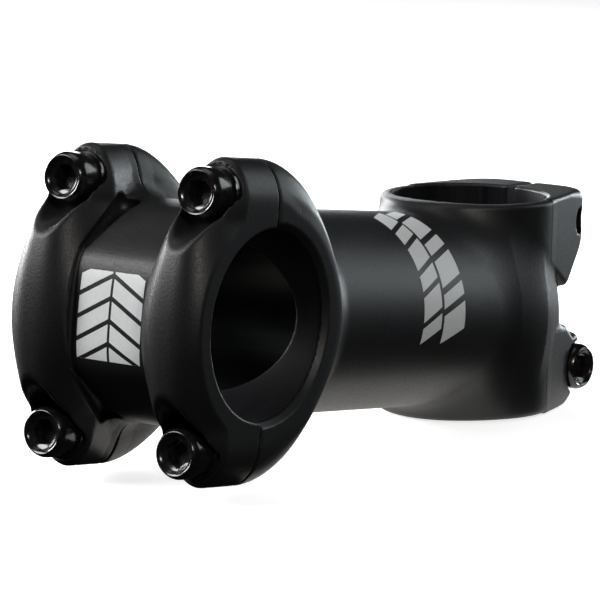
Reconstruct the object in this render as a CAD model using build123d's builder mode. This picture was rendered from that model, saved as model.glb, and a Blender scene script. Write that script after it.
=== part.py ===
"""Threadless bicycle handlebar stem with a four-bolt face plate, in millimetres.

Frame: the steerer axis is Z, pointing up. X points forward to the handlebar clamp and Y to the
rider's left. The origin is where the stem axis crosses the steerer axis.
"""

from build123d import *

import math
import os

os.makedirs("parts", exist_ok=True)

# ---------------------------------------------------------------- driving dimensions
STEERER_R = 14.3  # 28.6 mm steerer tube
BAR_R = 15.9  # 31.8 mm handlebar
EXTENSION = 90.0  # steerer axis to handlebar axis, along the stem axis
RISE = 6.0  # degrees above square to the steerer

CLAMP_TOP = 21.5  # steerer clamp: 40 mm stack
CLAMP_BOTTOM = -18.5
CLAMP_R = 16.4

TUBE_R = 17.9  # extension tube
TUBE_HOLLOW_R = 13.3

BAR_CLAMP_HALF = 19.5  # half the width of the handlebar clamp
SHELL_R = 18.6  # wall round the handlebar between the bands
BAND_R = 19.1  # wall round the handlebar at the bands
BAND_INNER = 8.2  # bands run from here out to BAR_CLAMP_HALF
SEAM = 0.2  # half the gap between body and face plate

FACE_BOLT_Y = 13.8
FACE_BOLT_Z = 21.2
LOBE_R = 5.9  # barrel of metal round each face bolt
LOBE_BACK = 9.0
BRIDGE_FRONT = 17.7  # the bridge between the bands: flat in front, sloping above and below
BRIDGE_SLOPE = 18.3
BRIDGE_ANGLE = 50.0
CREST_X = 21.6  # front of the face plate's bands at mid height
CREST_R = 46.0
CREST_INSET = 2.0  # how far the crest stands in from the band's sides
SCOOP_R = 3.2  # hollow that runs from each pocket down the crest

PINCH_X = -19.4
PINCH_Z = 1.9  # the two pinch bolts straddle this height
PINCH_SPREAD = 13.8
PINCH_SEAT = 8.2  # the heads' seats, from the middle plane
EAR_CORNER = (-17.8, 6.4)
EAR_CORNER_R = 6.2
SLOT = 1.6

# M5 socket head cap screws
BOLT_R = 2.5
THREAD_HOLE_R = 2.55
CLEARANCE_HOLE_R = 2.8
HEAD_R = 4.25
HEAD_HEIGHT = 5.0
HEX_FLATS = 4.0
HEX_DEPTH = 2.7
WASHER_R = 4.6
WASHER_HOLE_R = 2.65
WASHER_T = 1.0
POCKET_R = 5.0
FACE_SEAT = 9.7  # floor of each face bolt's pocket, ahead of the bar axis
FACE_BOLT_LENGTH = 18.0
PINCH_BOLT_LENGTH = 16.0

# ---------------------------------------------------------------- shared planes
tilt = math.radians(RISE)
along = Vector(math.cos(tilt), 0, math.sin(tilt))
above = Vector(-math.sin(tilt), 0, math.cos(tilt))
bar_centre = along * EXTENSION
stem_side = Plane(origin=bar_centre, x_dir=along, z_dir=(0, -1, 0))  # x forward, y up
stem_plan = Plane(origin=bar_centre, x_dir=along, z_dir=above)  # x forward, y left
stem_across = Plane(origin=(0, 0, 0), x_dir=(0, 1, 0), z_dir=along)  # looks along the stem axis
clamp_side = Plane(origin=(0, 0, 0), x_dir=(1, 0, 0), z_dir=(0, -1, 0))
clamp_plan = Plane.XY.offset(CLAMP_BOTTOM)
stack = CLAMP_TOP - CLAMP_BOTTOM


def at_bar(x, y, z):
    """A point given in the bar clamp's own tilted frame."""
    return bar_centre + along * x + Vector(0, y, 0) + above * z


def bar_plane(x, y, z, normal=along):
    """A plane facing along the stem axis at a point of the bar clamp."""
    return Plane(origin=at_bar(x, y, z), x_dir=(0, 1, 0), z_dir=normal)


def band_planes():
    """The side plane at the left face of each band."""
    return [stem_side.offset(-BAR_CLAMP_HALF), stem_side.offset(BAND_INNER)]


face_bolts = {
    "upper_left": (FACE_BOLT_Y, FACE_BOLT_Z),
    "upper_right": (-FACE_BOLT_Y, FACE_BOLT_Z),
    "lower_left": (FACE_BOLT_Y, -FACE_BOLT_Z),
    "lower_right": (-FACE_BOLT_Y, -FACE_BOLT_Z),
}
# height above PINCH_Z, and the side that the head is on
pinch_bolts = {"upper": (PINCH_SPREAD, -1), "lower": (-PINCH_SPREAD, 1)}


def clamp_band_blank(name):
    """Both bands' barrels and shell round the whole bar, before the split."""
    with BuildPart() as blank:
        with BuildSketch(stem_side.offset(-BAR_CLAMP_HALF)):
            Circle(SHELL_R)
        extrude(amount=2 * BAR_CLAMP_HALF)
        for plane in band_planes():
            with BuildSketch(plane):
                Circle(BAND_R)
            extrude(amount=BAR_CLAMP_HALF - BAND_INNER)
    blank.part.label = name
    return blank.part


# ---------------------------------------------------------------- stem body
# top edge of each band behind the split, in the bar clamp's frame
shoulder = [(-SEAM, 27.0), (-5.0, 26.5), (-9.0, 25.0), (-13.0, 22.2), (-17.5, 18.9), (-24.0, 16.5)]

with BuildPart() as body_blank:
    with BuildSketch(clamp_plan):
        Circle(CLAMP_R)
    extrude(amount=stack)
    fillet(body_blank.edges().filter_by(GeomType.CIRCLE), 1.0)

    with BuildSketch(stem_across.offset(6)):
        Circle(TUBE_R)
    extrude(amount=EXTENSION - 6 - BAR_R * 0.7)

    add(clamp_band_blank("rear half of the bar clamp"))
    for side in (-1, 1):
        with BuildSketch(stem_side.offset(side * (BAND_INNER + BAR_CLAMP_HALF) / 2)):
            with BuildLine():
                Spline([*shoulder])
                Line(shoulder[-1], (shoulder[-1][0], -shoulder[-1][1]))
                Spline([(x, -z) for x, z in reversed(shoulder)])
                Line((-SEAM, -shoulder[0][1]), shoulder[0])
            make_face()
        extrude(amount=(BAR_CLAMP_HALF - BAND_INNER) / 2 - 0.2, both=True)

    # the bands' outer sides close in to the width of the tube behind them
    with BuildSketch(stem_plan):
        for side in (-1, 1):
            outline = [(-40, TUBE_R), (-23, TUBE_R), (-12, BAR_CLAMP_HALF + 0.1), (-12, 40), (-40, 40)]
            with BuildLine():
                Polyline([(x, side * y) for x, y in outline], close=True)
            make_face()
    extrude(amount=40, both=True, mode=Mode.SUBTRACT)

    # the outer corners of the four lobes are round about their bolts
    for y, z in face_bolts.values():
        corner = LOBE_R + 3
        with BuildSketch(bar_plane(-30, y, z)):
            with Locations((math.copysign(corner / 2, y), math.copysign(corner / 2, z))):
                Rectangle(corner, corner)
            Circle(LOBE_R, mode=Mode.SUBTRACT)
        extrude(amount=40, mode=Mode.SUBTRACT)

    # everything ahead of the split belongs to the face plate
    with BuildSketch(bar_plane(-SEAM, 0, 0)):
        Rectangle(80, 80)
    extrude(amount=60, mode=Mode.SUBTRACT)

with BuildPart() as pinch_ears:
    with BuildSketch(clamp_plan) as ear_plan:
        with BuildLine():
            RadiusArc((0, -CLAMP_R), (0, CLAMP_R), -CLAMP_R)
            Line((0, CLAMP_R), (0, -CLAMP_R))
        make_face()
        with Locations(EAR_CORNER, (EAR_CORNER[0], -EAR_CORNER[1])):
            Circle(EAR_CORNER_R)
        make_hull()
    extrude(amount=stack)
    back = EAR_CORNER[0] - EAR_CORNER_R - 1
    with BuildSketch(clamp_side.offset(-30)):
        # the waist between the two ears
        with BuildLine():
            Polyline(
                (back, 13.5),
                (-16.6, 5.8),
                (-13.5, 4.4),
                (-13.5, -3.6),
                (-17.9, -6.4),
                (back, -6.6),
                close=True,
            )
        make_face()
        # the slope under the lower ear
        with BuildLine():
            Polyline(
                (back, -15.0),
                (-17.5, CLAMP_BOTTOM),
                (-17.5, CLAMP_BOTTOM - 1),
                (back, CLAMP_BOTTOM - 1),
                close=True,
            )
        make_face()
    extrude(amount=60, mode=Mode.SUBTRACT)

with BuildPart() as body_bores:
    with BuildSketch(clamp_plan.offset(-1)):
        Circle(STEERER_R)
    extrude(amount=stack + 2)
    with BuildSketch(stem_side.offset(-BAR_CLAMP_HALF - 1)):
        Circle(BAR_R)
    extrude(amount=2 * BAR_CLAMP_HALF + 2)
    with BuildSketch(stem_across.offset(1)):
        Circle(TUBE_HOLLOW_R)
    extrude(amount=EXTENSION - 2)
    with BuildSketch(clamp_plan.offset(-1)):
        with Locations((PINCH_X, 0)):
            Rectangle(2 * (CLAMP_R - 4), SLOT)
    extrude(amount=stack + 2)
    for y, z in face_bolts.values():
        with BuildSketch(bar_plane(-LOBE_BACK - 1.5, y, z)):
            Circle(THREAD_HOLE_R)
        extrude(amount=LOBE_BACK + 5)
    for height, side in pinch_bolts.values():
        seat = Plane(
            origin=(PINCH_X, side * PINCH_SEAT, PINCH_Z + height),
            x_dir=(1, 0, 0),
            z_dir=(0, side, 0),
        )
        with BuildSketch(seat):
            Circle(POCKET_R)
        extrude(amount=10)
        with BuildSketch(seat):
            Circle(CLEARANCE_HOLE_R)
        extrude(amount=-PINCH_SEAT)
        with BuildSketch(seat):
            Circle(THREAD_HOLE_R)
        extrude(amount=-30)

with BuildPart() as stem_body:
    add(body_blank.part)
    add(pinch_ears.part)
    add(body_bores.part, mode=Mode.SUBTRACT)
stem_body.part.label = "stem_body"
export_step(stem_body.part, "parts/stem_body.step")

# ---------------------------------------------------------------- face plate
crest_centre = CREST_X - CREST_R
crest_top = FACE_BOLT_Z + 4.5
crest_top_x = crest_centre + math.sqrt(CREST_R**2 - crest_top**2)
lobe_top = FACE_BOLT_Z + LOBE_R

slope = math.radians(BRIDGE_ANGLE)


def on_slope(z):
    """The point at height z on the bridge's sloping facet."""
    return ((BRIDGE_SLOPE - math.sin(slope) * z) / math.cos(slope), z)


bend = (BRIDGE_SLOPE - math.cos(slope) * BRIDGE_FRONT) / math.sin(slope)

with BuildPart() as face_plate:
    add(clamp_band_blank("front half of the bar clamp"))
    # the bridge's facets
    facets = [on_slope(bend), on_slope(24), (-24, 24)]
    with BuildSketch(stem_side.offset(-BAND_INNER)):
        Circle(24)
        with BuildLine():
            Polyline(*facets, *[(x, -z) for x, z in reversed(facets)], close=True)
        make_face(mode=Mode.SUBTRACT)
    extrude(amount=2 * BAND_INNER, mode=Mode.SUBTRACT)
    for side in (-1, 1):
        with BuildSketch(stem_side.offset(side * (BAND_INNER + BAR_CLAMP_HALF) / 2)):
            with BuildLine():
                Line((SEAM, -lobe_top), (SEAM, lobe_top))
                Line((SEAM, lobe_top), (FACE_SEAT - 0.5, lobe_top))
                Line((FACE_SEAT - 0.5, lobe_top), (FACE_SEAT - 0.5, -lobe_top))
                Line((FACE_SEAT - 0.5, -lobe_top), (SEAM, -lobe_top))
            make_face()
        extrude(amount=(BAR_CLAMP_HALF - BAND_INNER) / 2 - 0.2, both=True)
        with BuildSketch(stem_side.offset(side * (BAND_INNER + BAR_CLAMP_HALF) / 2)):
            with BuildLine():
                ThreePointArc((crest_top_x, -crest_top), (CREST_X, 0), (crest_top_x, crest_top))
                Line((crest_top_x, crest_top), (FACE_SEAT - 2, lobe_top))
                Line((FACE_SEAT - 2, lobe_top), (FACE_SEAT - 2, -lobe_top))
                Line((FACE_SEAT - 2, -lobe_top), (crest_top_x, -crest_top))
            make_face()
        extrude(amount=(BAR_CLAMP_HALF - BAND_INNER) / 2 - CREST_INSET, both=True)

    for y, z in face_bolts.values():
        corner = LOBE_R + 3
        with BuildSketch(bar_plane(-10, y, z)):
            with Locations((math.copysign(corner / 2, y), math.copysign(corner / 2, z))):
                Rectangle(corner, corner)
            Circle(LOBE_R, mode=Mode.SUBTRACT)
        extrude(amount=40, mode=Mode.SUBTRACT)
        # pocket
        with BuildSketch(bar_plane(FACE_SEAT, y, z)):
            Circle(POCKET_R)
        extrude(amount=20, mode=Mode.SUBTRACT)
        with BuildSketch(bar_plane(-10, y, z)):
            Circle(CLEARANCE_HOLE_R)
        extrude(amount=40, mode=Mode.SUBTRACT)
        # scoop from the pocket down the crest
        down = math.copysign(1, z)
        scoop = Plane(
            origin=at_bar(13.5, y, 17.5 * down),
            x_dir=(0, 1, 0),
            z_dir=along * 8.5 - above * 4.0 * down,
        )
        with BuildSketch(scoop):
            Circle(SCOOP_R)
        extrude(amount=12, mode=Mode.SUBTRACT)

    with BuildSketch(bar_plane(SEAM, 0, 0)):
        Rectangle(80, 80)
    extrude(amount=-60, mode=Mode.SUBTRACT)
    with BuildSketch(stem_side.offset(-BAR_CLAMP_HALF - 1)):
        Circle(BAR_R)
    extrude(amount=2 * BAR_CLAMP_HALF + 2, mode=Mode.SUBTRACT)
face_plate.part.label = "face_plate"
export_step(face_plate.part, "parts/face_plate.step")


# ---------------------------------------------------------------- bolts and washers
def washer(plane):
    with BuildPart() as ring:
        with BuildSketch(plane):
            Circle(WASHER_R)
            Circle(WASHER_HOLE_R, mode=Mode.SUBTRACT)
        extrude(amount=WASHER_T)
    return ring.part


def cap_screw(plane, length):
    """Socket head cap screw whose head sits on the plane and stands out along its normal."""
    with BuildPart() as screw:
        with BuildSketch(plane):
            Circle(HEAD_R)
        extrude(amount=HEAD_HEIGHT)
        fillet(screw.faces().sort_by(Axis(plane.origin, plane.z_dir))[-1].edges(), 0.5)
        with BuildSketch(plane.offset(HEAD_HEIGHT)):
            RegularPolygon(HEX_FLATS / 2, 6, major_radius=False)
        extrude(amount=-HEX_DEPTH, mode=Mode.SUBTRACT)
        with BuildSketch(plane):
            Circle(BOLT_R)
        extrude(amount=-length)
        chamfer(screw.faces().sort_by(Axis(plane.origin, plane.z_dir))[0].edges(), 0.6)
    return screw.part


def save_fastener(name, seat, length):
    """The washer lies on the seat and the screw's head on the washer."""
    ring = washer(seat)
    ring.label = f"{name.replace('bolt', 'washer')}"
    export_step(ring, f"parts/{ring.label}.step")
    screw = cap_screw(seat.offset(WASHER_T), length)
    screw.label = name
    export_step(screw, f"parts/{screw.label}.step")


for corner_name, (y, z) in face_bolts.items():
    save_fastener(f"face_bolt_{corner_name}", bar_plane(FACE_SEAT, y, z), FACE_BOLT_LENGTH)

for ear, (height, side) in pinch_bolts.items():
    seat = Plane(
        origin=(PINCH_X, side * PINCH_SEAT, PINCH_Z + height),
        x_dir=(1, 0, 0),
        z_dir=(0, side, 0),
    )
    save_fastener(f"pinch_bolt_{ear}", seat, PINCH_BOLT_LENGTH)
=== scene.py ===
"""Looks for the handlebar stem: forgings, printed marks, cap screws and washers."""

import math
import random

import bmesh
import bpy
import numpy as np
from mathutils import Matrix, Vector


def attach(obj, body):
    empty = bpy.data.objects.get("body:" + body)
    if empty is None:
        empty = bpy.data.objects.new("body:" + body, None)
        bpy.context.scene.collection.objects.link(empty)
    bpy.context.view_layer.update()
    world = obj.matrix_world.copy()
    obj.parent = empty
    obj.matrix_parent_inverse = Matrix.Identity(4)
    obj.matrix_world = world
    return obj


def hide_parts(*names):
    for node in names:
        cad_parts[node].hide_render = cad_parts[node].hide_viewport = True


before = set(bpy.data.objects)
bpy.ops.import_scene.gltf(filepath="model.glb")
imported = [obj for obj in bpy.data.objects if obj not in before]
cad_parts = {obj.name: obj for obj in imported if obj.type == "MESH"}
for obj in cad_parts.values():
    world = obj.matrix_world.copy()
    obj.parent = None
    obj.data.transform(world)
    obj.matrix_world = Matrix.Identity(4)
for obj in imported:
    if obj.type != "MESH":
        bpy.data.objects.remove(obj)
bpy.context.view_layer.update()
random.seed(7)

# ---------------------------------------------------------------- sizes
# Shapes are worked out in millimetres, in the row frame, and scaled when a mesh is made.
MM = 0.001
TILT = math.radians(6.0)  # rise of the stem axis
EXTENSION = 90.0
ALONG = np.array((math.cos(TILT), 0.0, math.sin(TILT)))
ABOVE = np.array((-math.sin(TILT), 0.0, math.cos(TILT)))
LEFT = np.array((0.0, 1.0, 0.0))
BAR_CENTRE = ALONG * EXTENSION
STEERER_R = 14.3
STACK = 40.0
STACK_MID = 1.5
CLAMP_R = 16.4
BAR_R = 15.9
CLAMP_HALF = 19.5  # half the width of the handlebar clamp
TUBE_R = 17.75
TUBE_TAPER = 0.006  # the extension tube swells a little toward the bar
HOLLOW_R = 13.3
SHELL_R = 18.6
SEAM = 0.2  # half the gap between body and face plate
BAND_Y = 13.75  # middle of each band
BAND_HALF = 5.9
BAND_RISE = 8.6  # height over which a band's section closes round its bolt
LOBE_WAIST = 1.4  # how much the lobes narrow on their inner sides at the seam
LOBE_TOP = 27.1
FACE_BOLT_Y = 13.8
FACE_BOLT_Z = 21.2
FACE_SEAT = 9.7
CREST_X = 21.5  # front of a band at mid height
CREST_R = 46.0
CREASE_R = 19.15  # where a band's front meets its sides
CREASE_FRONT = 8.8  # the crease comes no nearer to the bar's axis than this
BRIDGE_FRONT = 17.75
BRIDGE_HALF = 12.0  # the bridge runs this far sideways, into the bands
FACET_REACH = 18.3  # distance of the bridge's sloping facets from the bar's axis
BRIDGE_SHELL_R = 18.9
RECESS_WALL = 1.0  # least metal between a wedge recess and the bar
PINCH_X = -19.4
PINCH_MID = 1.9
PINCH_SPREAD = 13.8
PINCH_SEAT = 8.2
EAR_BACK = 24.0  # rear ends of the ears, behind the steerer's axis
SLOT_HALF = 0.8
SLOT_FRONT = -12.0
FACE_POCKET_R = 4.85
PINCH_POCKET_R = 4.9
CLEARANCE_HOLE_R = 2.8
THREAD_HOLE_R = 2.55
THREAD_HOLE_DEPTH = 8.8  # of the face bolts' holes, behind the bar's axis
BOLT_R = 2.5
THREAD_PITCH = 0.8
HEAD_R = 4.25
HEAD_HEIGHT = 5.0
HEX_HALF = 2.0  # half the width across the socket's flats
HEX_DEPTH = 2.6
WASHER_R = 4.6
WASHER_HOLE_R = 2.65
WASHER_T = 1.0
FACE_BOLT_LENGTH = 18.0
PINCH_BOLT_LENGTH = 16.0
BODY_GRID = 0.4  # cell sizes of the forged surfaces
PLATE_GRID = 0.3


# ---------------------------------------------------------------- fields
# A field is negative inside the metal, positive outside and roughly a distance in millimetres.
def smooth_min(a, b, k):
    """Union of two fields, with a fillet about k wide where they meet."""
    h = np.clip(0.5 + 0.5 * (b - a) / k, 0.0, 1.0)
    return b + (a - b) * h - k * h * (1.0 - h)


def smooth_max(a, b, k):
    """Intersection of two fields, with an edge rounded over about k."""
    return -smooth_min(-a, -b, k)


def ramp(value, start, end):
    """0 before start, 1 after end and a straight rise between them."""
    return np.clip((value - start) / (end - start), 0.0, 1.0)


def to_bar(x, z):
    """Forward and upward coordinates from the handlebar axis, in the stem's tilted plane."""
    dx = x - BAR_CENTRE[0]
    dz = z - BAR_CENTRE[2]
    return dx * ALONG[0] + dz * ALONG[2], dx * ABOVE[0] + dz * ABOVE[2]


def band_section(y, w, top, waist=0.0):
    """Across a band: straight sided, closing to a tall elliptical end round each bolt."""
    high = np.abs(w)
    inner = BAND_HALF - waist * ramp(high, 14.0, 21.0) * (np.abs(y) < BAND_Y)
    side = (np.abs(y) - BAND_Y) / inner
    end = np.maximum(high - top + BAND_RISE, 0.0) / BAND_RISE
    return (np.hypot(side, end) - 1.0) * BAND_HALF


def lip_bore(radial, axial, radius, half, lip):
    """A bore whose mouths at +-half are chamfered by lip."""
    return radial - radius - np.clip(np.abs(axial) - half + lip, 0.0, 4 * lip)


def screw_radial(y, w):
    """Distance from the nearest face bolt's axis."""
    return np.hypot(np.abs(y) - FACE_BOLT_Y, np.abs(w) - FACE_BOLT_Z)


def pinch_ears(x, y, z):
    """Two ears behind the steerer clamp, tapering back in plan, with a waist between them."""
    sides = 0.975 * np.abs(y) - 0.223 * x - CLAMP_R
    plan = smooth_max(smooth_max(sides, -x - EAR_BACK, 5.2), x + 3.0, 0.5)
    # upper ear: above a diagonal at its back and a plane that slopes down to the rear
    diagonal = -0.677 * (x + 24.1) - 0.736 * (z - 14.0)
    slope = 0.876 * (5.4 + 0.55 * (x + 10.0) - z)
    upper = smooth_max(diagonal, slope, 1.5)
    # lower ear: below a shelf that steps up to the clamp, above a chamfer at its back
    shelf = 0.85 * (z + 6.0 - 2.8 * ramp(x, -18.0, -13.5))
    chamfer = -0.425 * (x + 22.6) - 0.905 * (z + 14.9)
    lower = smooth_max(shelf, chamfer, 1.0)
    return smooth_max(plan, np.minimum(upper, lower), 1.2)


def body_bores(body, x, y, z, u, w):
    """The body less its two clamp bores, the hollow, the slot and the screw holes."""
    steerer = lip_bore(np.hypot(x, y), z - STACK_MID, STEERER_R, STACK / 2, 0.45)
    body = smooth_max(body, -steerer, 0.15)
    body = smooth_max(body, -lip_bore(np.hypot(u, w), y, BAR_R, CLAMP_HALF, 1.0), 0.15)
    hollow = np.maximum(np.hypot(y, w) - HOLLOW_R, -u - EXTENSION)
    body = smooth_max(body, -hollow, 0.4)
    slot = np.maximum(np.abs(y) - SLOT_HALF, x - SLOT_FRONT)
    body = smooth_max(body, -slot, 0.25)
    flare = np.clip(u + SEAM + 0.5, 0.0, 2.0)
    hole = np.maximum(screw_radial(y, w) - THREAD_HOLE_R - flare, -u - THREAD_HOLE_DEPTH)
    body = smooth_max(body, -hole, 0.15)
    for side, lift in ((-1.0, PINCH_SPREAD), (1.0, -PINCH_SPREAD)):
        radial = np.hypot(x - PINCH_X, z - PINCH_MID - lift)
        head = np.maximum(radial - PINCH_POCKET_R, PINCH_SEAT - side * y)
        body = smooth_max(body, -head, 0.35)
        bore = np.where(side * y > 0.0, CLEARANCE_HOLE_R, THREAD_HOLE_R)
        body = smooth_max(body, bore - radial, 0.15)
    return body


def stem_body(x, y, z):
    u, w = to_bar(x, z)
    round_tube = np.hypot(y, w)
    # the tube runs on past the steerer clamp's middle, shrinking into the waist of the ears
    past = np.maximum(-x, 0.0)
    tube = round_tube - (TUBE_R + TUBE_TAPER * (u + EXTENSION / 2)) + 0.33 * past
    tube = smooth_max(smooth_max(tube, u + 10.0, 1.0), -x - 12.0, 3.0)

    clamp = smooth_max(np.hypot(x, y) - CLAMP_R, np.abs(z - STACK_MID) - STACK / 2, 1.2)
    body = smooth_min(clamp, pinch_ears(x, y, z), 0.2 + 1.4 * ramp(-x, 6.0, 14.0))
    body = smooth_min(body, tube, 1.6 + 5.0 * ramp(x, -6.0, 9.0))
    ends = np.abs(z - STACK_MID) - STACK / 2 - np.maximum(x - 26.0, 0.0)
    body = smooth_max(body, ends, 0.9 + 1.2 * ramp(-x, 14.0, 22.0))

    # two bands carry the lobes, and flare out of the tube behind them
    back = np.minimum(u, 0.0) ** 2
    bands = band_section(y, w, LOBE_TOP - 0.031 * back, LOBE_WAIST * ramp(u, -14.0, -4.0))
    cone = 0.743 * (round_tube - TUBE_R - 0.9 * (u + 22.6))
    bands = smooth_max(bands, cone, 0.8)
    bands = smooth_max(bands, np.abs(y) - CLAMP_HALF, 0.5)
    shell = smooth_max(np.hypot(u, w) - SHELL_R, np.abs(y) - CLAMP_HALF, 0.8)
    near_seam = ramp(u, -6.0, -0.5)
    body = smooth_min(body, shell, 3.5)
    body = smooth_min(body, bands, 2.2 + 2.0 * near_seam)
    body = smooth_max(body, np.abs(y) - CLAMP_HALF, 0.4)
    body = smooth_max(body, u + SEAM, 0.35)
    return body_bores(body, x, y, z, u, w)


def plate_bridge(u, y, high):
    """The bridge between the bands: nearly flat in front, a sloping facet above and below."""
    front = u - BRIDGE_FRONT + high**2 / 160.0
    facet = 0.66 * u + 0.751 * high - FACET_REACH
    bridge = smooth_max(front, facet, 0.5)
    bridge = smooth_max(bridge, np.hypot(u, high) - BRIDGE_SHELL_R, 0.8)
    return smooth_max(bridge, np.abs(y) - BRIDGE_HALF, 1.0)


def plate_band(u, y, high):
    """A band's crowned front, dropping to a crease along each side."""
    section = band_section(y, high, LOBE_TOP, LOBE_WAIST * ramp(u, 9.0, 2.0))
    across = np.clip(section / BAND_HALF + 1.0, 0.0, 1.3)
    crest = CREST_X - CREST_R + np.sqrt(np.maximum(CREST_R**2 - high**2, 1.0))
    crease = CREASE_R - 0.06 * (np.abs(y) - BAND_Y)
    round_bar = np.sqrt(np.maximum(crease**2 - high**2, 1.0))
    edge = smooth_max(round_bar, np.full_like(high, CREASE_FRONT), 2.0)
    front = edge + (crest - edge) * (1.0 - across**2.6)
    band = (u - front) * 0.65
    section = smooth_max(section, np.abs(y) - CLAMP_HALF, 0.3)
    return smooth_max(band, section, 0.3)


# Tapered rods cut from the face plate: start and end as (forward, side, high), then the radii.
RECESS = ((16.4, 7.8, 10.2), (6.6, 6.9, 17.3), 0.3, 2.3)
SCOOP = ((22.6, FACE_BOLT_Y, 13.4), (14.5, FACE_BOLT_Y, 18.6), 1.9, 3.9)


def tapered_rod(u, y, high, rod):
    """Distance from a rod that thickens from its start to its end, mirrored in y."""
    start, end, thin, thick = rod
    start, end = np.array(start), np.array(end)
    span = end - start
    point = (u - start[0], np.abs(y) - start[1], high - start[2])
    t = np.clip(sum(p * s for p, s in zip(point, span)) / (span @ span), 0.0, 1.0)
    gap = np.sqrt(sum((p - t * s) ** 2 for p, s in zip(point, span)))
    return gap - thin - (thick - thin) * t


def face_plate(x, y, z):
    u, w = to_bar(x, z)
    high = np.abs(w)
    blend = 0.7 + 4.0 * ramp(u, 6.0, 0.5)
    plate = smooth_min(plate_bridge(u, y, high), plate_band(u, y, high), blend)

    # wedge-shaped recess between the bridge's facet and each band
    recess = tapered_rod(u, y, high, RECESS)
    recess = smooth_max(recess, BAR_R + RECESS_WALL - np.hypot(u, w), 0.4)
    plate = smooth_max(plate, -recess, 0.35)

    # pocket round each head, and the scoop that runs from it down the crest
    radial = screw_radial(y, w)
    pocket = np.maximum(radial - FACE_POCKET_R, FACE_SEAT - u)
    plate = smooth_max(plate, -pocket, 0.4)
    plate = smooth_max(plate, -tapered_rod(u, y, high, SCOOP), 1.3)

    plate = smooth_max(plate, SEAM - u, 0.35)
    plate = smooth_max(plate, -lip_bore(np.hypot(u, w), y, BAR_R, CLAMP_HALF, 0.35), 0.1)
    return smooth_max(plate, CLEARANCE_HOLE_R - radial, 0.15)


# ---------------------------------------------------------------- meshes from fields
def surface_net(field, low, high, step):
    """Vertices and quads of the surface where field is zero, in a box of cells."""
    axes = [np.arange(a, b + step, step) for a, b in zip(low, high)]
    shape = tuple(len(a) for a in axes)
    value = field(*np.meshgrid(*axes, indexing="ij"))
    cells = tuple(n - 1 for n in shape)
    total = np.zeros((math.prod(cells), 3))
    count = np.zeros(math.prod(cells))
    quads = []
    for axis in range(3):
        first = np.moveaxis(value, axis, 0)[:-1]
        second = np.moveaxis(value, axis, 0)[1:]
        index = np.argwhere(np.moveaxis((first < 0) != (second < 0), 0, axis))
        a = value[tuple(index.T)]
        ahead = index.copy()
        ahead[:, axis] += 1
        place = index.astype(float)
        place[:, axis] += a / (a - value[tuple(ahead.T)])
        one, two = [k for k in range(3) if k != axis]
        around = []
        for back_one, back_two in ((0, 0), (1, 0), (1, 1), (0, 1)):
            cell = index.copy()
            cell[:, one] -= back_one
            cell[:, two] -= back_two
            flat = np.ravel_multi_index(cell.T, cells)
            around.append(flat)
            for k in range(3):
                total[:, k] += np.bincount(flat, place[:, k], len(count))
            count += np.bincount(flat, minlength=len(count))
        quad = np.stack(around, 1)
        flip = (a >= 0) if axis != 1 else (a < 0)
        quad[flip] = quad[flip][:, ::-1]
        quads.append(quad)
    used = np.flatnonzero(count)
    number = np.full(len(count), -1)
    number[used] = np.arange(len(used))
    vertices = np.array(low) + total[used] / count[used, None] * step
    return vertices, number[np.concatenate(quads)]


def gradient(field, points, h=0.02):
    slope = np.empty_like(points)
    for k in range(3):
        ahead = points.copy()
        behind = points.copy()
        ahead[:, k] += h
        behind[:, k] -= h
        slope[:, k] = (field(*ahead.T) - field(*behind.T)) / (2 * h)
    return slope


def settle(field, points, rounds=3, most=0.2):
    """Moves points onto the surface where field is zero."""
    for _ in range(rounds):
        slope = gradient(field, points)
        size = np.maximum((slope**2).sum(1), 1e-3)
        move = -(field(*points.T) / size)[:, None] * slope
        length = np.linalg.norm(move, axis=1, keepdims=True)
        points = points + move * np.minimum(1.0, most / np.maximum(length, 1e-9))
    return points


def mesh_object(name, vertices, faces, material, body):
    """A smooth-shaded object from points in millimetres, riding on a body."""
    mesh = bpy.data.meshes.new(name)
    faces = faces.tolist() if isinstance(faces, np.ndarray) else faces
    mesh.from_pydata((np.asarray(vertices) * MM).tolist(), [], faces)
    mesh.materials.append(material)
    mesh.polygons.foreach_set("use_smooth", [True] * len(mesh.polygons))
    mesh.update()
    obj = bpy.data.objects.new(name, mesh)
    bpy.context.scene.collection.objects.link(obj)
    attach(obj, body)
    return obj


def forged(name, field, cells, material, node):
    """One forged piece: its field's surface, with normals from the field itself."""
    vertices, faces = surface_net(field, *cells)
    vertices = settle(field, vertices)
    obj = mesh_object(name, vertices, faces, material, node)
    normals = gradient(field, vertices)
    normals /= np.maximum(np.linalg.norm(normals, axis=1, keepdims=True), 1e-9)
    obj.data.normals_split_custom_set_from_vertices(normals.tolist())
    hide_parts(node)
    return obj


# ---------------------------------------------------------------- screws and washers
def hex_radius(angle, half):
    """Radius of a hexagon with the given half width across flats."""
    turn = (angle + math.pi / 6) % (math.pi / 3) - math.pi / 6
    return half / math.cos(turn)


def lathe(rings, segments, closed):
    """Faces between successive rings of vertices, each with the given number of segments."""
    faces = []
    count = len(rings)
    for i in range(count if closed else count - 1):
        a, b = i * segments, (i + 1) % count * segments
        for j in range(segments):
            k = (j + 1) % segments
            faces.append((a + j, a + k, b + k, b + j))
    return faces


def place(points, seat, axis):
    """Points drawn about +Z, moved so that +Z is the axis and the origin is the seat."""
    axis = np.asarray(axis, float)
    side = np.cross((0.0, 1.0, 0.0) if abs(axis[1]) < 0.9 else (0.0, 0.0, 1.0), axis)
    side /= np.linalg.norm(side)
    other = np.cross(axis, side)
    return np.asarray(points) @ np.array((side, other, axis)) + np.asarray(seat)


def ring(segments, radius_at, height_at):
    """One ring of points, where radius and height may vary with the angle."""
    points = []
    for j in range(segments):
        angle = 2 * math.pi * j / segments
        radius = radius_at(angle)
        points.append((radius * math.cos(angle), radius * math.sin(angle), height_at(angle)))
    return points


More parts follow.
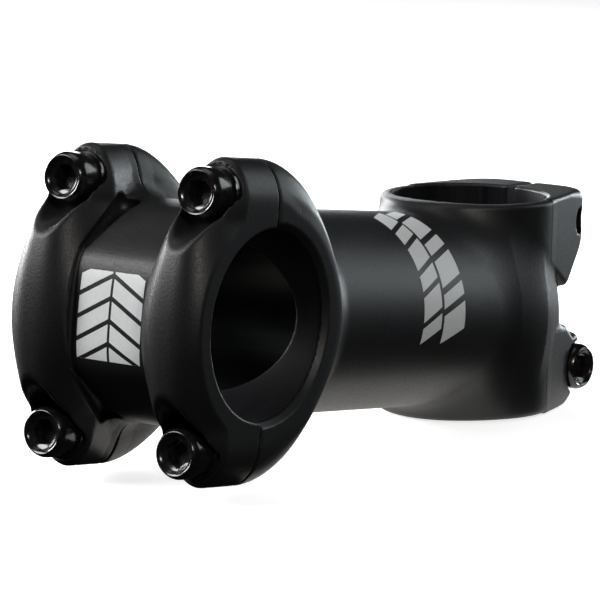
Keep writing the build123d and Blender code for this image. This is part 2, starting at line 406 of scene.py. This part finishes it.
def round_ring(segments, radius, height):
    return ring(segments, lambda angle: radius, lambda angle: height)


def hex_ring(segments, scale, height):
    return ring(segments, lambda angle: hex_radius(angle, HEX_HALF) * scale, lambda angle: height)


def head_rings(segments):
    """Rings from the bottom of the hex socket, over the head, to the underside at the shank."""
    profile = (
        # radius, height above the seat
        (3.0, HEAD_HEIGHT - 0.50),
        (3.12, HEAD_HEIGHT - 0.30),
        (3.34, HEAD_HEIGHT - 0.12),
        (3.50, HEAD_HEIGHT - 0.03),
        (3.58, HEAD_HEIGHT),
        (3.66, HEAD_HEIGHT - 0.03),
        (3.78, HEAD_HEIGHT - 0.14),
        (4.06, HEAD_HEIGHT - 0.62),
        (4.18, HEAD_HEIGHT - 0.92),
        (4.235, HEAD_HEIGHT - 1.15),
        (HEAD_R, HEAD_HEIGHT - 1.4),
        (HEAD_R, 0.3),
        (HEAD_R - 0.1, 0.08),
        (HEAD_R - 0.3, 0.0),
        (BOLT_R + 0.1, 0.0),
    )
    rings = []
    bottom = HEAD_HEIGHT - HEX_DEPTH
    for share in (0.02, 0.55):
        rings.append(hex_ring(segments, share, bottom - 0.3 * (1 - share)))
    walls = (
        # scale of the hexagon, height above the seat
        (0.97, bottom),
        (1.0, bottom + 0.08),
        (1.0, HEAD_HEIGHT - 0.95),
        (1.04, HEAD_HEIGHT - 0.86),
    )
    rings += [hex_ring(segments, scale, height) for scale, height in walls]
    rings.append(round_ring(segments, 2.6, HEAD_HEIGHT - 0.72))
    rings += [round_ring(segments, radius, height) for radius, height in profile]
    return rings


def thread_rings(segments, length):
    """Rings down the shank: a plain neck, then a rolled thread fading out at the tip."""
    rings = []
    steps = 10
    neck = 2.0
    count = int((length - neck) / THREAD_PITCH * steps)
    rings.append(round_ring(segments, BOLT_R - 0.03, -0.15))
    rings.append(round_ring(segments, BOLT_R - 0.06, -neck + 0.6))
    for i in range(count + 1):
        depth = neck + i * THREAD_PITCH / steps
        tip = max(0.0, depth - (length - 0.8))

        def groove(angle, depth=depth, tip=tip):
            phase = (depth / THREAD_PITCH - angle / (2 * math.pi)) % 1.0
            fade = min(1.0, (depth - neck) / THREAD_PITCH)
            return BOLT_R - 0.05 - 0.42 * fade * (1 - abs(2 * phase - 1)) - 0.7 * tip

        rings.append(ring(segments, groove, lambda a, d=depth: -d))
    end = min(length, neck + count * THREAD_PITCH / steps + 0.12)
    rings += [round_ring(segments, radius, -end) for radius in (1.2, 0.05)]
    return rings


def cap_screw(name, seat, axis, length, material):
    """Socket head cap screw whose head stands out from the seat along the axis."""
    segments = 72
    rings = head_rings(segments) + thread_rings(segments, length)
    points = np.array([p for one in rings for p in one])
    faces = [tuple(reversed(f)) for f in lathe(rings, segments, False)]
    faces.append(tuple(range(segments)))
    last = (len(rings) - 1) * segments
    faces.append(tuple(reversed(range(last, last + segments))))
    spin = random.uniform(0, math.pi / 3)
    turn = np.array(
        (
            (math.cos(spin), math.sin(spin), 0),
            (-math.sin(spin), math.cos(spin), 0),
            (0, 0, 1),
        )
    )
    obj = mesh_object(name + "_screw", place(points @ turn, seat, axis), faces, material, name)
    mark_sharp(obj, 40)
    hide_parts(name)


def washer(name, seat, axis, material):
    """Flat washer with small chamfers on all four edges."""
    segments = 64
    c = 0.12  # chamfer
    outer, inner, top = WASHER_R, WASHER_HOLE_R, WASHER_T
    section = (
        (inner + c, 0), (outer - c, 0), (outer, c), (outer, top - c),
        (outer - c, top), (inner + c, top), (inner, top - c), (inner, c),
    )
    rings = [round_ring(segments, radius, height) for radius, height in section]
    points = np.array([p for one in rings for p in one])
    faces = lathe(rings, segments, True)
    obj = mesh_object(name + "_ring", place(points, seat, axis), faces, material, name)
    mark_sharp(obj, 35)
    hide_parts(name)


def mark_sharp(obj, degrees):
    """Turns all faces outward, and shades creases over the angle as sharp edges."""
    shape = bmesh.new()
    shape.from_mesh(obj.data)
    for edge in shape.edges:
        edge.smooth = edge.calc_face_angle(0) < math.radians(degrees)
    bmesh.ops.recalc_face_normals(shape, faces=shape.faces)
    shape.to_mesh(obj.data)
    shape.free()


# ---------------------------------------------------------------- materials
def new_material(name):
    material = bpy.data.materials.new(name)
    material.use_nodes = True
    nodes = material.node_tree.nodes
    return material, nodes, material.node_tree.links, nodes["Principled BSDF"]


def add_bump(nodes, links, shader, height, strength, distance):
    bump = nodes.new("ShaderNodeBump")
    bump.inputs["Strength"].default_value = strength
    bump.inputs["Distance"].default_value = distance
    links.new(height, bump.inputs["Height"])
    links.new(bump.outputs["Normal"], shader.inputs["Normal"])


def noise(nodes, links, scale, detail=4.0, stretch=None):
    coordinates = nodes.new("ShaderNodeTexCoord")
    texture = nodes.new("ShaderNodeTexNoise")
    texture.inputs["Scale"].default_value = scale
    texture.inputs["Detail"].default_value = detail
    source = coordinates.outputs["Object"]
    if stretch:
        mapping = nodes.new("ShaderNodeMapping")
        mapping.inputs["Scale"].default_value = stretch
        links.new(source, mapping.inputs["Vector"])
        source = mapping.outputs["Vector"]
    links.new(source, texture.inputs["Vector"])
    return texture.outputs["Fac"]


def spread(nodes, links, source, low, high, low_to, high_to):
    """A value rescaled from low..high to low_to..high_to."""
    rescale = nodes.new("ShaderNodeMapRange")
    limits = {"From Min": low, "From Max": high, "To Min": low_to, "To Max": high_to}
    for key, value in limits.items():
        rescale.inputs[key].default_value = value
    links.new(source, rescale.inputs["Value"])
    return rescale.outputs["Result"]


def mixed_colour(nodes, links, factor, low, high):
    mix = nodes.new("ShaderNodeMix")
    mix.data_type = "RGBA"
    colours = [socket for socket in mix.inputs if socket.type == "RGBA"]
    colours[0].default_value = (*low, 1)
    colours[1].default_value = (*high, 1)
    links.new(factor, mix.inputs[0])
    return mix.outputs[2]


def satin_black(name, seed_scale):
    """Bead-blasted and anodised black: fine orange-peel grain and faint cloudy wear."""
    material, nodes, links, shader = new_material(name)
    cloud = noise(nodes, links, seed_scale, 3.0)
    grain = noise(nodes, links, 2400.0, 2.0)
    patches = spread(nodes, links, cloud, 0.3, 0.7, 0, 1)
    dark, light = (0.0085, 0.009, 0.0098), (0.0125, 0.013, 0.014)
    colour = mixed_colour(nodes, links, patches, dark, light)
    links.new(colour, shader.inputs["Base Color"])
    rough = spread(nodes, links, grain, 0.3, 0.7, 0.40, 0.50)
    links.new(rough, shader.inputs["Roughness"])
    shader.inputs["Specular IOR Level"].default_value = 0.42
    add_bump(nodes, links, shader, grain, 0.5, 0.00006)
    return material


def gloss_black(name):
    """Oiled black oxide on steel: glossy, with faint machining and handling marks."""
    material, nodes, links, shader = new_material(name)
    wear = noise(nodes, links, 900.0, 5.0)
    worn = spread(nodes, links, wear, 0.35, 0.75, 0, 1)
    dark, light = (0.006, 0.006, 0.0065), (0.014, 0.0135, 0.013)
    colour = mixed_colour(nodes, links, worn, dark, light)
    links.new(colour, shader.inputs["Base Color"])
    links.new(spread(nodes, links, wear, 0.3, 0.7, 0.13, 0.24), shader.inputs["Roughness"])
    shader.inputs["Specular IOR Level"].default_value = 0.7
    add_bump(nodes, links, shader, wear, 0.12, 0.00008)
    return material


def bore_black_with_painted_shade(name):
    """Anodised bore: matte bluish black over the fine rings left by the boring tool, with its
    colour and reflection darkened well below the body's as painted shade inside the bores.
    """
    material, nodes, links, shader = new_material(name)
    rings = noise(nodes, links, 260.0, 3.0, (0.15, 9.0, 0.15))
    bands = spread(nodes, links, rings, 0.3, 0.7, 0, 1)
    # colours far darker than the body's, with the low specular level below: painted shade inside
    # the bores
    dark, light = (0.003, 0.0031, 0.0045), (0.006, 0.0061, 0.0085)
    colour = mixed_colour(nodes, links, bands, dark, light)
    links.new(colour, shader.inputs["Base Color"])
    links.new(spread(nodes, links, rings, 0.3, 0.7, 0.40, 0.56), shader.inputs["Roughness"])
    shader.inputs["Specular IOR Level"].default_value = 0.18
    add_bump(nodes, links, shader, rings, 0.35, 0.00006)
    return material


def printed_white(name):
    """Screen-printed white ink: slightly uneven cover on the grain below."""
    material, nodes, links, shader = new_material(name)
    cover = noise(nodes, links, 1500.0, 2.0)
    thin = spread(nodes, links, cover, 0.25, 0.75, 0, 1)
    dark, light = (0.84, 0.86, 0.87), (0.90, 0.92, 0.93)
    colour = mixed_colour(nodes, links, thin, dark, light)
    links.new(colour, shader.inputs["Base Color"])
    shader.inputs["Roughness"].default_value = 0.5
    add_bump(nodes, links, shader, cover, 0.3, 0.0001)
    return material


body_black = satin_black("satin_black_body", 45.0)
plate_black = satin_black("satin_black_plate", 60.0)
screw_black = gloss_black("gloss_black_screw")
washer_black = gloss_black("gloss_black_washer")
# bore material: a real matte finish, darkened further as painted shade
bore_painted_shade_material = bore_black_with_painted_shade("machined_bore_painted_shade")
ink = printed_white("white_print")


# ---------------------------------------------------------------- pieces
def bar_point(u, y, w):
    return BAR_CENTRE + ALONG * u + LEFT * y + ABOVE * w


def machine_and_shade_bores(obj, in_bore):
    """Gives the second material, the bore finish darkened as painted shade, to the faces whose
    middles are in a bore.
    """
    mesh = obj.data
    mesh.materials.append(bore_painted_shade_material)
    middles = np.empty(len(mesh.polygons) * 3)
    mesh.polygons.foreach_get("center", middles)
    x, y, z = (middles.reshape(-1, 3) / MM).T
    u, w = to_bar(x, z)
    mesh.polygons.foreach_set("material_index", in_bore(x, y, z, u, w).astype(np.int32))


def body_bore_faces(x, y, z, u, w):
    near_steerer = (np.hypot(x, y) < STEERER_R + 0.08) & (x < 20)
    near_bar = np.hypot(u, w) < BAR_R + 0.08
    inside = (np.hypot(y, w) < HOLLOW_R + 0.3) & (x > 5)
    return near_steerer | near_bar | inside


def plate_bore_faces(x, y, z, u, w):
    return np.hypot(u, w) < BAR_R + 0.08


# corners of the box that is searched for each surface, and the size of its cells
BODY_CELLS = ((-25, -20.4, -20), (95, 20.4, 38.5), BODY_GRID)
PLATE_CELLS = ((86, -20.4, -19.5), (113, 20.4, 38.5), PLATE_GRID)
body = forged("body_forging", stem_body, BODY_CELLS, body_black, "stem_body")
plate = forged(
    "plate_forging", face_plate, PLATE_CELLS, plate_black, "face_plate"
)
# bore faces take the material darkened as painted shade
machine_and_shade_bores(body, body_bore_faces)
machine_and_shade_bores(plate, plate_bore_faces)

corners = {
    "upper_left": (1, 1),
    "upper_right": (-1, 1),
    "lower_left": (1, -1),
    "lower_right": (-1, -1),
}
for corner, (side, level) in corners.items():
    seat = bar_point(FACE_SEAT, side * FACE_BOLT_Y, level * FACE_BOLT_Z)
    washer("face_washer_" + corner, seat, ALONG, washer_black)
    cap_screw("face_bolt_" + corner, seat + ALONG * WASHER_T, ALONG, FACE_BOLT_LENGTH, screw_black)
for ear, side, lift in (("upper", -1, PINCH_SPREAD), ("lower", 1, -PINCH_SPREAD)):
    seat = np.array((PINCH_X, side * PINCH_SEAT, PINCH_MID + lift))
    outward = LEFT * side
    washer("pinch_washer_" + ear, seat, outward, washer_black)
    head_seat = seat + outward * WASHER_T
    cap_screw("pinch_bolt_" + ear, head_seat, outward, PINCH_BOLT_LENGTH, screw_black)


# ---------------------------------------------------------------- printed marks
PRINT_LIFT = 0.03  # thickness of the ink above the finish


def printed(name, patches, field, node):
    """Thin closed tiles of ink; each patch maps (s, t) in 0..1 to a point near the surface."""
    points, faces = [], []
    for patch, columns, rows in patches:
        steps = np.linspace(0, 1, columns + 1), np.linspace(0, 1, rows + 1)
        s, t = np.meshgrid(*steps, indexing="ij")
        flat = patch(s.ravel(), t.ravel())
        on_surface = settle(field, flat, 5, 1.0)
        out = gradient(field, on_surface)
        out /= np.linalg.norm(out, axis=1, keepdims=True)
        start = sum(len(p) for p in points)
        layer = len(on_surface)
        points += [on_surface + out * PRINT_LIFT, on_surface - out * PRINT_LIFT]
        faces += tile_faces(columns, rows, start, layer)
    obj = mesh_object(name, np.concatenate(points), faces, ink, node)
    mark_sharp(obj, 50)
    return obj


def tile_faces(columns, rows, start, layer):
    """Top, bottom and side faces of a tile whose two layers are grids of points."""

    def index(i, j, k=0):
        return start + i * (rows + 1) + j + k * layer

    faces = []
    for i in range(columns):
        for j in range(rows):
            cell = (index(i, j), index(i + 1, j), index(i + 1, j + 1), index(i, j + 1))
            faces += [cell, tuple(layer + v for v in reversed(cell))]
    rim = [(i, 0) for i in range(columns)] + [(columns, j) for j in range(rows)]
    rim += [(i, rows) for i in range(columns, 0, -1)] + [(0, j) for j in range(rows, 0, -1)]
    for a, b in zip(rim, rim[1:] + rim[:1]):
        faces.append((index(*b), index(*a), index(*a, 1), index(*b, 1)))
    return faces


# The bridge's mark, measured from the bridge's middle.
MARK_INNER, MARK_OUTER = 0.25, 6.5  # sideways ends of a half chevron
MARK_LOWEST, MARK_HIGHEST = -8.0, 7.0
MARK_FALL = 0.55  # height lost for each millimetre outward
MARK_FIRST, MARK_PITCH, MARK_BAR = -8.2, 3.75, 2.9  # lowest chevron, spacing and thickness


def bridge_patch(side, low, high):
    """Half of a chevron on the bridge: low and high are its edges at the middle."""

    def place_tile(s, t):
        y = MARK_INNER + s * (MARK_OUTER - MARK_INNER)
        bottom = np.clip(low - MARK_FALL * y, MARK_LOWEST, MARK_HIGHEST)
        top = np.clip(high - MARK_FALL * y, MARK_LOWEST, MARK_HIGHEST)
        w = bottom + (top - bottom) * t
        return bar_point(*(v[:, None] for v in (np.full_like(w, BRIDGE_FRONT), side * y, w)))

    return place_tile, 16, 6


# The tube's mark, in millimetres along the stem and degrees up from the left side.
TUBE_MARK_FRONT = -48.8  # from the bar's axis
TUBE_MARK_LOWEST = -9.0
TUBE_MARK_SLANT = 9.0  # turn of a block over its length


def tube_patch(first, last, low, high, slant):
    """A slanted block of the tube's band, between two distances back and two angles round."""

    def place_tile(s, t):
        angle = low + (high - low) * t + slant * (s - 0.5)
        back = first + (last - first) * s
        u = TUBE_MARK_FRONT - back
        turn = np.radians(angle)
        y, w = TUBE_R * np.cos(turn), TUBE_R * np.sin(turn)
        return bar_point(*(v[:, None] for v in (u, y, w)))

    return place_tile, 10, max(4, int((high - low) / 2))


def bridge_mark():
    """Nested chevrons that fill a square; the last of the six is all but clipped away."""
    lows = [MARK_FIRST + MARK_PITCH * i for i in range(6)]
    edges = [(low, low + MARK_BAR) for low in lows]
    return [bridge_patch(side, low, high) for low, high in edges for side in (-1, 1)]


def tube_mark():
    """Two columns of slanted blocks that curve over the tube's left side."""
    patches = []
    columns = (
        # start and end along the tube, angles that the blocks span, angle between blocks
        (0.0, 5.7, (9, 14, 9, 14, 9, 14), 3.4),
        (6.5, 13.3, (16, 8, 16, 8, 16, 8), 4.0),
    )
    for first, last, lengths, gap in columns:
        angle = TUBE_MARK_LOWEST
        for length in lengths:
            patches.append(tube_patch(first, last, angle, angle + length, TUBE_MARK_SLANT))
            angle += length + gap
    return patches


printed("bridge_print", bridge_mark(), face_plate, "face_plate")
printed("tube_print", tube_mark(), stem_body, "stem_body")


# ---------------------------------------------------------------- stage
FLOOR = (STACK_MID - STACK / 2) * MM - 0.0002

# The camera of the photo, fitted to the object's outlines.
CAMERA_ANGLES = (54.908, 8.865, 1.428)  # azimuth, elevation and roll in degrees
CAMERA_TARGET = (53.482, 0, 7.52)
CAMERA_DISTANCE = 675.8
FOCAL_PIXELS = 3887.9
PICTURE_PIXELS = 600
SENSOR = 36.0


def add_camera():
    azimuth, elevation, roll = (math.radians(a) for a in CAMERA_ANGLES)
    back = Vector(
        (
            math.sin(azimuth) * math.cos(elevation),
            math.cos(azimuth) * math.cos(elevation),
            math.sin(elevation),
        )
    )
    right = (-back).cross(Vector((0, 0, 1))).normalized()
    up = right.cross(-back)
    right, up = (
        right * math.cos(roll) + up * math.sin(roll),
        up * math.cos(roll) - right * math.sin(roll),
    )
    camera = bpy.data.objects.new("camera", bpy.data.cameras.new("camera"))
    place = Vector(CAMERA_TARGET) * MM + back * CAMERA_DISTANCE * MM
    turn = Matrix((right, up, back)).transposed()
    camera.matrix_world = Matrix.Translation(place) @ turn.to_4x4()
    camera.data.sensor_width = SENSOR
    camera.data.lens = FOCAL_PIXELS / PICTURE_PIXELS * SENSOR
    bpy.context.scene.collection.objects.link(camera)
    bpy.context.scene.camera = camera


def area_light(name, place, target, size, power, colour):
    data = bpy.data.lights.new(name, "AREA")
    data.shape = "RECTANGLE"
    data.size, data.size_y = size
    data.energy = power
    data.color = colour
    lamp = bpy.data.objects.new(name, data)
    lamp.location = place
    lamp.visible_camera = False
    lamp.rotation_euler = (Vector(target) - Vector(place)).to_track_quat("-Z", "Y").to_euler()
    bpy.context.scene.collection.objects.link(lamp)


def add_floor():
    """A round paper floor whose edge sweeps up into a wall."""
    segments = 96
    flat, sweep, height = 2.2, 0.8, 3.0  # radii of the flat and of its bend, top of the wall
    angles = np.linspace(0, math.pi / 2, 13)
    bend = [(flat + sweep * math.sin(a), sweep - sweep * math.cos(a)) for a in angles]
    profile = [(0.3, 0.0), *bend, (flat + sweep, height)]
    turns = np.linspace(0, 2 * math.pi, segments, endpoint=False)
    points = [(r * math.cos(a), r * math.sin(a), z) for r, z in profile for a in turns]
    mesh = bpy.data.meshes.new("floor")
    faces = [tuple(reversed(f)) for f in lathe(profile, segments, False)]
    mesh.from_pydata(points, [], [tuple(range(segments)), *faces])
    mesh.polygons.foreach_set("use_smooth", [True] * len(mesh.polygons))
    floor = bpy.data.objects.new("floor", mesh)
    floor.location.z = FLOOR
    floor.visible_glossy = floor.visible_diffuse = False
    material, _, _, shader = new_material("floor_paper")
    shader.inputs["Base Color"].default_value = (0.93, 0.93, 0.92, 1)
    shader.inputs["Roughness"].default_value = 0.9
    shader.inputs["Emission Color"].default_value = (1.0, 1.0, 1.0, 1)
    shader.inputs["Emission Strength"].default_value = 0.74
    mesh.materials.append(material)
    bpy.context.scene.collection.objects.link(floor)


def add_world():
    world = bpy.data.worlds.new("studio")
    world.use_nodes = True
    world.node_tree.nodes["Background"].inputs["Color"].default_value = (1, 1, 1, 1)
    world.node_tree.nodes["Background"].inputs["Strength"].default_value = 0.01
    bpy.context.scene.world = world
    bpy.context.scene.view_settings.view_transform = "Standard"


add_camera()
add_floor()
add_world()
MIDDLE = (0.05, 0.0, 0.0)
WHITE, WARM, PAPER = (1.0, 1.0, 1.0), (1.0, 0.96, 0.92), (1.0, 0.98, 0.93)
COOL, COOLER, COOLEST = (0.92, 0.97, 1.0), (0.90, 0.97, 1.0), (0.88, 0.96, 1.0)
LIGHTS = (
    # name, place, size, watts, colour
    ("key", (0.50, -0.46, 0.42), (0.40, 0.35), 4.8, WHITE),
    ("front", (0.45, 0.62, 0.38), (0.15, 0.15), 1.6, WARM),
    ("side_left", (0.02, -0.85, 0.20), (0.50, 0.32), 10.0, WHITE),
    ("wall_left", (-0.50, -0.65, 0.13), (0.50, 0.24), 3.0, COOL),
    ("wall_back", (-0.88, -0.02, 0.06), (0.40, 0.11), 2.6, COOLEST),
    ("wall_right", (-0.62, 0.40, 0.34), (0.50, 0.34), 1.2, COOLER),
    ("top", (0.05, -0.1, 0.7), (0.50, 0.40), 0.6, WHITE),
)
for name, place_at, size, power, colour in LIGHTS:
    area_light(name, place_at, MIDDLE, size, power, colour)
# light that pale paper would throw up under the tube
UNDER = (0.01, -0.042)
area_light("bounce", (*UNDER, FLOOR + 0.0005), (*UNDER, 1.0), (0.16, 0.12), 0.055, PAPER)
